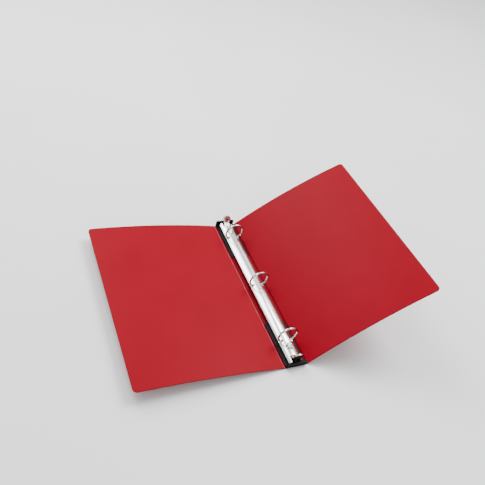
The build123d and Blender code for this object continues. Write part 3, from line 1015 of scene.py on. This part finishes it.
@dataclass
class HalfRing:
    """Half ring of round wire, bent at its foot and headed over under its blade."""

    side: Side
    station: str
    place_y: float
    wire: float = 1.5 * MM
    radius: float = 14.3 * MM
    centre_z: float = 20.8 * MM
    pivot_x: float = 9.15 * MM
    pivot_z: float = 6.0 * MM
    tilt: float = 8.0
    blade: float = 1.2 * MM
    foot_rise: float = 0.3 * MM
    foot_bend: float = 2.2 * MM
    tenon: float = 1.0 * MM
    tenon_head: float = 1.4 * MM
    head_depth: float = 0.4 * MM
    tip_gap: float = 0.05 * MM
    nose: float = 0.9 * MM
    nose_length: float = 0.8 * MM
    nose_end: float = 0.3 * MM
    tip_ease: float = 0.18 * MM
    tip_rise: float = 0.072 * MM
    around: int = 28
    bend_steps: int = 8
    ring_steps: int = 54

    def blade_point(self, inward: float, up: float) -> Vector:
        """Finds a point of the front blade's section.

        Args:
            inward: distance from the pivot along the blade.
            up: distance off the blade's middle line.

        Returns:
            The point, at this ring's place along the spine.
        """
        tilt = math.radians(self.tilt)
        x = -self.pivot_x + inward * math.cos(tilt) + up * math.sin(tilt)
        z = self.pivot_z - inward * math.sin(tilt) + up * math.cos(tilt)
        return Vector((x, self.place_y, z))

    def bend_inward(self) -> float:
        """Finds where the foot bends, so that the bend meets the ring's circle from outside
        and stands square on the blade.

        Returns:
            How far in along the blade the centre of the bend lies.
        """
        base = self.blade_point(0.0, self.blade / 2 + self.foot_rise)
        tilt = math.radians(self.tilt)
        x, z = base.x, base.z - self.centre_z
        half = x * math.cos(tilt) - z * math.sin(tilt)
        reach = self.radius + self.foot_bend
        return -half - math.sqrt(half * half - x * x - z * z + reach * reach)

    def build(self) -> BMesh:
        """Makes the half ring for the front side, mirrored for the back.

        Returns:
            The finished shape.
        """
        shape = bmesh.new()
        tilt = math.radians(self.tilt)
        upward = Vector((math.sin(tilt), 0.0, math.cos(tilt)))
        inward = self.bend_inward()
        foot = inward + self.foot_bend
        under = -self.blade / 2 - self.head_depth
        start = Matrix.Translation(self.blade_point(foot, under)) @ Matrix.Rotation(tilt, 4, "Y")
        rim = bmesh.ops.create_circle(shape, cap_ends=True, segments=self.around,
                                      radius=self.tenon_head, matrix=start)["verts"]
        steps = ((self.tenon_head, self.head_depth), (self.tenon, 0.0), (self.tenon, self.blade),
                 (self.wire, 0.0), (self.wire, self.foot_rise))
        edges = list({e for v in rim for e in v.link_edges})
        size = self.tenon_head
        for radius, rise in steps:
            edges = grown_loop(shape, edges, radius / size, upward * rise)
            size = radius
        centre = self.blade_point(inward, self.blade / 2 + self.foot_rise)
        to_ring = math.atan2(self.centre_z - centre.z, -centre.x)
        edges = spun_loop(shape, edges, centre, -(to_ring + tilt), self.bend_steps)
        middle = Vector((0.0, self.place_y, self.centre_z))
        tip = math.pi / 2 - self.tip_gap / self.radius
        edges = spun_loop(shape, edges, middle, to_ring + tip, self.ring_steps)
        reach = -1.0 if self.side is Side.BACK else 1.0
        wider = 2 * self.tip_gap if self.side is Side.BACK else 0.0
        base, end = self.nose + wider, self.nose_end + wider
        ahead = Vector((reach * (self.nose_length + wider / 2), 0.0, 0.0))
        eased = Vector((self.tip_rise, 0.0, 0.0))
        edges = grown_loop(shape, edges, 1.0 - self.tip_ease / self.wire, eased)
        edges = grown_loop(shape, edges, base / (self.wire - self.tip_ease), Vector())
        edges = grown_loop(shape, edges, end / base, ahead)
        bmesh.ops.holes_fill(shape, edges=edges, sides=0)
        bmesh.ops.remove_doubles(shape, verts=shape.verts, dist=SAME_PLACE / 2)
        if self.side is Side.BACK:
            bmesh.ops.scale(shape, vec=(-1.0, 1.0, 1.0), verts=shape.verts)
        bmesh.ops.recalc_face_normals(shape, faces=shape.faces)
        return shape

    def dress(self, finishes: Finishes) -> Object:
        """Builds the half ring, finishes it and sets it on its rail.

        Args:
            finishes: the binder's finishes.

        Returns:
            The piece.
        """
        name = f"{self.station}_{self.side.hand}"
        piece = to_piece(self.build(), f"{name}_ring_wire", [finishes.wire], crease=40.0)
        return place_piece(piece, f"{self.side.hand}_rail", "bright_plate", f"{name}_half_ring")


@dataclass
class Rail:
    """One long blade and the three half rings that stand on it."""

    side: Side
    pitch: float = RING_PITCH
    ease: float = 0.12 * MM

    def dress(self, finishes: Finishes) -> None:
        """Builds the blade and its half rings and sets them on the rail.

        Args:
            finishes: the binder's finishes.
        """
        hand = self.side.hand
        dressed_copy(f"{hand}_blade", f"{hand}_long_blade", f"{hand}_rail", "bright_plate",
                     finishes.plate, self.ease, least=40.0)
        for station, step in (("near", -1), ("middle", 0), ("far", 1)):
            HalfRing(self.side, station, step * self.pitch).dress(finishes)


@dataclass
class EndLever:
    """Opening lever of one end, with its black thumb pad and its pin."""

    end: End
    tab_y: float = 143.6 * MM
    tab_z: float = 18.2 * MM
    lean: float = 15.0
    sheet: float = 1.2 * MM
    pad_radius: float = 6.6 * MM
    pad_depth: float = 1.0 * MM
    pad_ease: float = 0.35 * MM
    grip_step: float = 1.05 * MM
    grip_depth: float = 0.22 * MM
    grips: int = 4
    groove: tuple[Pair, ...] = ((0.35, 0.0), (0.5, -1.0), (0.85, 0.0), (1.0, 1.0))  # shares in, then up
    peg: float = 0.95 * MM
    peg_head: float = 1.6 * MM
    peg_head_depth: float = 0.4 * MM
    ease: float = 0.2 * MM
    around: int = 48

    def tab_frame(self) -> Matrix:
        """Works out the frame in the middle of the tab, its Z out past the end of the spine.

        Returns:
            The frame's matrix.
        """
        way = self.end.value
        lean = math.radians(self.lean)
        facing = Vector((0.0, way * math.cos(lean), -math.sin(lean)))
        right = Vector((1.0, 0.0, 0.0))
        up = facing.cross(right)
        turn = Matrix((right, up, facing)).transposed().to_4x4()
        middle = Vector((0.0, way * self.tab_y, self.tab_z))
        return Matrix.Translation(middle) @ turn

    def pad(self) -> BMesh:
        """Makes the pad: a low disc with round grip steps, and a peg with its spread head.

        Returns:
            The finished shape.
        """
        shape = bmesh.new()
        half = self.sheet / 2
        rim = bmesh.ops.create_circle(shape, cap_ends=True, segments=self.around, radius=self.peg_head,
                                      matrix=Matrix.Translation((0.0, 0.0, -half - self.peg_head_depth)))
        edges = list({e for v in rim["verts"] for e in v.link_edges})
        radius = self.peg_head
        ease = self.pad_ease
        steps = [(self.peg_head, self.peg_head_depth), (self.peg, 0.0), (self.peg, self.sheet),
                 (self.pad_radius - ease / 2, 0.0), (self.pad_radius, ease / 2),
                 (self.pad_radius, self.pad_depth - 3 * ease / 2), (self.pad_radius - ease / 3, ease * 0.7),
                 (self.pad_radius - ease, ease * 0.3)]
        inner = self.pad_radius - ease
        for _ in range(self.grips):
            for share, rise in self.groove:
                steps.append((inner - self.grip_step * share, self.grip_depth * rise))
            inner -= self.grip_step
        for size, rise in steps:
            edges = grown_loop(shape, edges, size / radius, Vector((0.0, 0.0, rise)))
            radius = size
        bmesh.ops.holes_fill(shape, edges=edges, sides=0)
        bmesh.ops.recalc_face_normals(shape, faces=shape.faces)
        bmesh.ops.transform(shape, matrix=self.tab_frame(), verts=shape.verts)
        bmesh.ops.recalc_face_normals(shape, faces=shape.faces)
        return shape

    def dress(self, finishes: Finishes) -> None:
        """Builds the lever, its pad and its pin and sets them on their bodies.

        Args:
            finishes: the binder's finishes.
        """
        end = self.end.name.lower()
        body = f"{end}_lever"
        dressed_copy(body, f"{body}_pressing", body, "bright_plate", finishes.plate, self.ease)
        pad = to_piece(self.pad(), f"{end}_grip_pad", [finishes.black])
        place_piece(pad, body, "black_moulding", f"{end}_thumb_pad")
        dressed_copy(f"{body}_pin", f"{end}_round_pin", "spine", "bright_plate", finishes.wire, 0.0)


@dataclass
class HousingRivet:
    """Tubular rivet of one end and the spacer tube that it passes through."""

    end: End
    ease: float = 0.1 * MM

    def dress(self, finishes: Finishes) -> None:
        """Builds both pieces and sets them on the spine.

        Args:
            finishes: the binder's finishes.
        """
        end = self.end.name.lower()
        for node, name, finish in (("rivet", "tubular_rivet", finishes.rivet),
                                   ("rivet_spacer", "spacer_tube", finishes.plate)):
            dressed_copy(f"{end}_{node}", f"{end}_{name}", "spine", "rivet_steel", finish, self.ease)


@dataclass
class HangingHook:
    """Black moulded hook that slides out of one end of the spine."""

    end: End
    ease: float = 0.18 * MM

    def dress(self, finishes: Finishes) -> None:
        """Builds the hook and sets it on its body."""
        node = f"{self.end.name.lower()}_hook"
        dressed_copy(node, f"{node}_moulding", node, "black_moulding", finishes.black, self.ease)


# ------------------------------------------------------------------ studio


@dataclass(frozen=True)
class Lamp:
    """One soft square lamp: where it hangs, what it faces, its side and its power in watts."""

    name: str
    place: Triple
    target: Triple
    size: float
    power: float

    def hang(self) -> None:
        """Adds the lamp to the scene."""
        data = bpy.data.lights.new(self.name, "AREA")
        data.shape = "SQUARE"
        data.size = self.size
        data.energy = self.power
        lamp = bpy.data.objects.new(self.name, data)
        lamp.location = self.place
        aim = Vector(self.target) - Vector(self.place)
        lamp.rotation_euler = aim.to_track_quat("-Z", "Y").to_euler()
        bpy.context.scene.collection.objects.link(lamp)


@dataclass
class Studio:
    """Plain pale floor, soft light and the camera."""

    azimuth: float = -32.8
    elevation: float = 40.86
    roll: float = 16.8
    distance: float = 0.949
    aim: Triple = (0.0168, 0.10127, 0.0012)
    lens: float = 41.94
    sensor: float = 36.0
    floor_size: float = 12.0
    floor_drop: float = 0.05 * MM
    sky: Pair = (0.30, 1.22)
    sky_fade: Pair = (-0.1, 0.9)
    sky_colour: Triple = (0.97, 0.98, 1.0)
    bright_way: Triple = (0.1, 0.62, 0.78)
    lamps: tuple[Lamp, ...] = (
        Lamp("key", (1.1, 0.5, 1.9), (0.0, 0.0, 0.0), 1.1, 52.0),
        Lamp("rear", (-0.42, 1.0, 1.12), (0.08, 0.05, 0.0), 0.9, 20.0),
        Lamp("front", (-0.5, -1.9, 0.8), (0.0, 0.0, 0.0), 0.35, 12.0),
    )

    def camera(self) -> None:
        """Makes the camera, turned about its own axis by the roll."""
        turn, rise, roll = (math.radians(a) for a in (self.azimuth, self.elevation, self.roll))
        back = Vector((math.sin(turn) * math.cos(rise), -math.cos(turn) * math.cos(rise), math.sin(rise)))
        level = Vector((math.cos(turn), math.sin(turn), 0.0))
        upright = back.cross(level)
        right = level * math.cos(roll) + upright * math.sin(roll)
        up = upright * math.cos(roll) - level * math.sin(roll)
        data = bpy.data.cameras.new("view")
        data.lens = self.lens
        data.sensor_width = self.sensor
        data.clip_start, data.clip_end = 0.01, 100.0
        camera = bpy.data.objects.new("view", data)
        place = Matrix((right, up, back)).transposed().to_4x4()
        camera.matrix_world = Matrix.Translation(Vector(self.aim) + back * self.distance) @ place
        bpy.context.scene.collection.objects.link(camera)
        bpy.context.scene.camera = camera

    def build(self, finishes: Finishes) -> None:
        """Makes the camera, the floor, the lamps and the pale surroundings.

        Args:
            finishes: the binder's finishes.
        """
        self.camera()
        shape = bmesh.new()
        bmesh.ops.create_grid(shape, x_segments=2, y_segments=2, size=self.floor_size / 2)
        bmesh.ops.translate(shape, vec=(0.0, 0.0, -self.floor_drop), verts=shape.verts)
        floor = to_piece(shape, "floor", [finishes.floor])
        for lamp in self.lamps:
            lamp.hang()
        self.surroundings()

    def surroundings(self) -> None:
        """Makes a pale room that is brighter above and behind than in front."""
        world = bpy.data.worlds.new("surroundings")
        world.use_nodes = True
        nodes, links = world.node_tree.nodes, world.node_tree.links
        place = nodes.new("ShaderNodeTexCoord")
        ahead = nodes.new("ShaderNodeVectorMath")
        ahead.operation = "DOT_PRODUCT"
        ahead.inputs[1].default_value = self.bright_way
        level = nodes.new("ShaderNodeMapRange")
        level.interpolation_type = "SMOOTHSTEP"
        for name, number in zip(RANGE_SOCKETS, (*self.sky_fade, *self.sky)):
            level.inputs[name].default_value = number
        links.new(place.outputs["Generated"], ahead.inputs[0])
        links.new(ahead.outputs["Value"], level.inputs["Value"])
        links.new(level.outputs["Result"], nodes["Background"].inputs["Strength"])
        nodes["Background"].inputs["Color"].default_value = (*self.sky_colour, 1.0)
        bpy.context.scene.world = world


def main() -> None:
    """Builds the binder from the covers in, and reports each piece."""
    logging.basicConfig(level=logging.INFO, format="%(name)s: %(message)s")
    finishes = Finishes()
    Studio().build(finishes)
    for side in Side:
        start, end = REST_SLOPES[side]
        CoverSheet(side, start, end).dress(finishes)
        # Only the front hinge's bead takes the pale painted highlight.
        HingeWeb(side, start, painted_bead_highlight=side is Side.FRONT).dress(finishes)
        Rail(side).dress(finishes)
    Spine().dress(finishes)
    RingHousing().dress(finishes)
    for end in End:
        EndLever(end).dress(finishes)
        HousingRivet(end).dress(finishes)
        HangingHook(end).dress(finishes)


if __name__ == "__main__":
    main()
